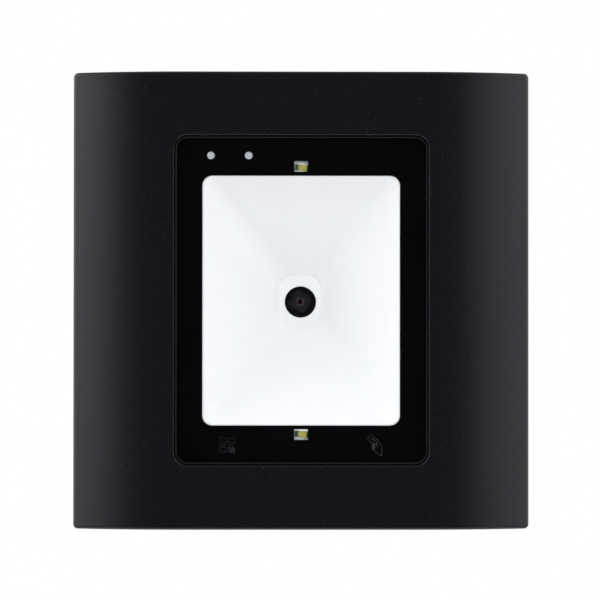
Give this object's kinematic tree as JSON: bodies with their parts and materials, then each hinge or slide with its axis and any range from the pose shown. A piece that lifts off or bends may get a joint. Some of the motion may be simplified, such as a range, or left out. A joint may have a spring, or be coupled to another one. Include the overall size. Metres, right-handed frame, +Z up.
{
  "type": "fixed barcode reader",
  "caption": "Square panel-mounted code reader: arched matt black bezel, flush glass over a white light funnel with a central camera, and a shallow rear case with a cable socket.",
  "frame": {"origin": "centre of the flat back of the rear case, on the centre line of the window", "axes": "-Y out of the window towards the user, +Z up the face, +X to the right as seen from the front"},
  "size_m": [0.11, 0.04, 0.11],
  "materials": {
    "bezel_plastic": "fine matt moulded black, slightly textured",
    "case_plastic": "plain moulded black with a light spark texture",
    "window_glass": "polished flat cover glass",
    "black_print": "opaque black print behind glass, with faint grey pictograms",
    "black_foam": "closed-cell black foam",
    "white_plastic": "bright white moulded reflector, satin",
    "white_board": "white solder mask",
    "led_phosphor": "yellow phosphor block on a small base",
    "status_lens": "milky unlit lamp lens",
    "green_board": "green solder mask",
    "amber_film": "amber ribbon",
    "connector_plastic": "off-white connector plastic",
    "barrel_black": "matt black lens barrel",
    "lens_glass": "dark coated lens, faint red",
    "chip_black": "moulded black component plastic",
    "gold_contact": "gold-plated spring contacts",
    "brass": "machined brass",
    "zinc_steel": "zinc-plated screws"
  },
  "bodies": {
    "root": {"front_bezel": "bezel_plastic", "window_glass": "window_glass", "mask_film": "black_print", "glass_tape": "black_foam", "reflector": "white_plastic", "led_board": "white_board", "led_top": "led_phosphor", "led_bottom": "led_phosphor", "status_led_left": "status_lens", "status_led_right": "status_lens", "card_antenna": "green_board", "led_flex": "amber_film", "flex_socket": "connector_plastic", "lens_barrel": "barrel_black", "lens_element": "lens_glass", "lens_holder": "chip_black", "image_sensor": "green_board", "main_board": "green_board", "processor": "chip_black", "memory_chip": "chip_black", "buzzer": "chip_black", "cable_socket": "chip_black", "socket_contacts": "gold_contact", "rear_case": "case_plastic", "panel_gasket": "black_foam", "panel_insert_1": "brass", "reflector_screw_1": "zinc_steel", "board_screw_1": "zinc_steel", "case_screw_1": "zinc_steel", "panel_insert_2": "brass", "reflector_screw_2": "zinc_steel", "board_screw_2": "zinc_steel", "case_screw_2": "zinc_steel", "panel_insert_3": "brass", "reflector_screw_3": "zinc_steel", "board_screw_3": "zinc_steel", "case_screw_3": "zinc_steel", "panel_insert_4": "brass", "reflector_screw_4": "zinc_steel", "board_screw_4": "zinc_steel", "case_screw_4": "zinc_steel"}
  },
  "joints": []
}
